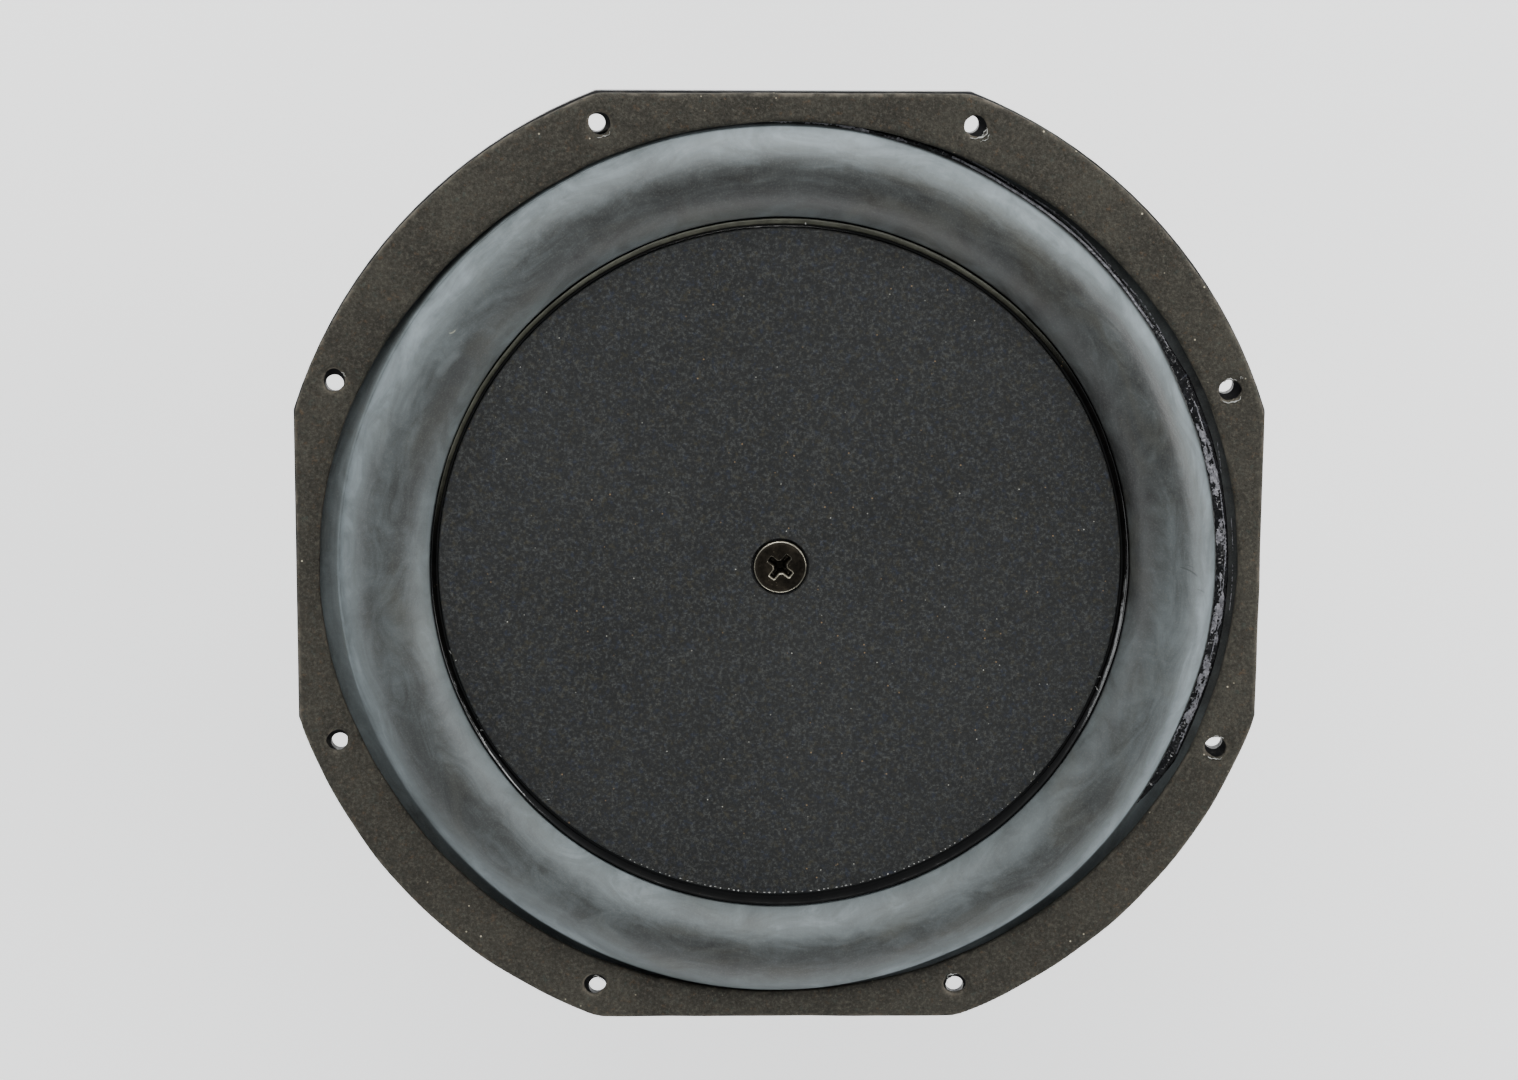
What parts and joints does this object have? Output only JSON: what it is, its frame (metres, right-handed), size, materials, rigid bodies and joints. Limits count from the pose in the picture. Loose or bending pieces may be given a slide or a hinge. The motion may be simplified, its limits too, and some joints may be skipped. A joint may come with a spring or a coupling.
{
  "type": "car subwoofer driver",
  "caption": "Round-cornered car subwoofer driver with a flat disc piston, half-roll rubber surround, cast basket, ferrite motor and push terminals.",
  "frame": {"origin": "centre of the flange bolt circle, on the flange's rear mounting face", "axes": "+Z along the piston axis, out of the front; -Y towards the terminals; X across the terminals"},
  "size_m": [0.2444, 0.2396, 0.1335],
  "materials": {
    "cast_frame": "satin",
    "gasket_foam": "matte",
    "surround_rubber": "satin",
    "disc_face": "matte",
    "glue": "gloss",
    "cone_paper": "matte",
    "moulded_black": "satin",
    "former_sheet": "satin",
    "copper_winding": "satin",
    "black_screw": "satin",
    "zinc_steel": "satin",
    "spider_cloth": "matte",
    "plate_steel": "satin",
    "ferrite": "matte",
    "copper": "satin",
    "boot_rubber": "matte",
    "mesh_black": "matte",
    "terminal_plastic": "satin",
    "button_red": "gloss",
    "button_black": "gloss",
    "tinned_brass": "satin",
    "spring_steel": "satin",
    "tinsel_braid": "satin",
    "solder": "satin"
  },
  "bodies": {
    "frame": {"basket": "cast_frame", "front_gasket": "gasket_foam", "surround": "surround_rubber", "spider": "spider_cloth", "top_plate": "plate_steel", "magnet": "ferrite", "pole_yoke": "plate_steel", "shorting_sleeve": "copper", "magnet_boot": "boot_rubber", "vent_screen": "mesh_black", "motor_screws": "zinc_steel", "terminal_housing": "terminal_plastic", "terminal_base": "terminal_plastic", "terminal_contacts": "tinned_brass", "terminal_screws": "zinc_steel", "terminal_spring_pos": "spring_steel", "terminal_spring_neg": "spring_steel", "tinsel_lead_pos": "tinsel_braid", "tinsel_lead_neg": "tinsel_braid"},
    "piston": {"piston_disc": "disc_face", "edge_adhesive_bead": "glue", "support_cone": "cone_paper", "coupler": "moulded_black", "coil_former": "former_sheet", "voice_coil": "copper_winding", "centre_screw": "black_screw", "centre_washer": "zinc_steel", "lock_nut": "zinc_steel", "lead_pads": "solder"},
    "button_pos": {"push_button_pos": "button_red"},
    "button_neg": {"push_button_neg": "button_black"}
  },
  "joints": [
    {"name": "piston_travel", "type": "slide", "parent": "frame", "child": "piston", "axis": [0, 0, 1], "range_m": [-0.014, 0.014], "stiffness_N_per_m": 4264, "deforming": ["surround", "spider", "tinsel_lead_pos", "tinsel_lead_neg"]},
    {"name": "button_pos_press", "type": "slide", "parent": "frame", "child": "button_pos", "axis": [0, 0, -1], "range_m": [0, 0.003], "stiffness_N_per_m": 400, "springref_m": -0.0015, "deforming": ["terminal_spring_pos"]},
    {"name": "button_neg_press", "type": "slide", "parent": "frame", "child": "button_neg", "axis": [0, 0, -1], "range_m": [0, 0.003], "stiffness_N_per_m": 400, "springref_m": -0.0015, "deforming": ["terminal_spring_neg"]}
  ]
}
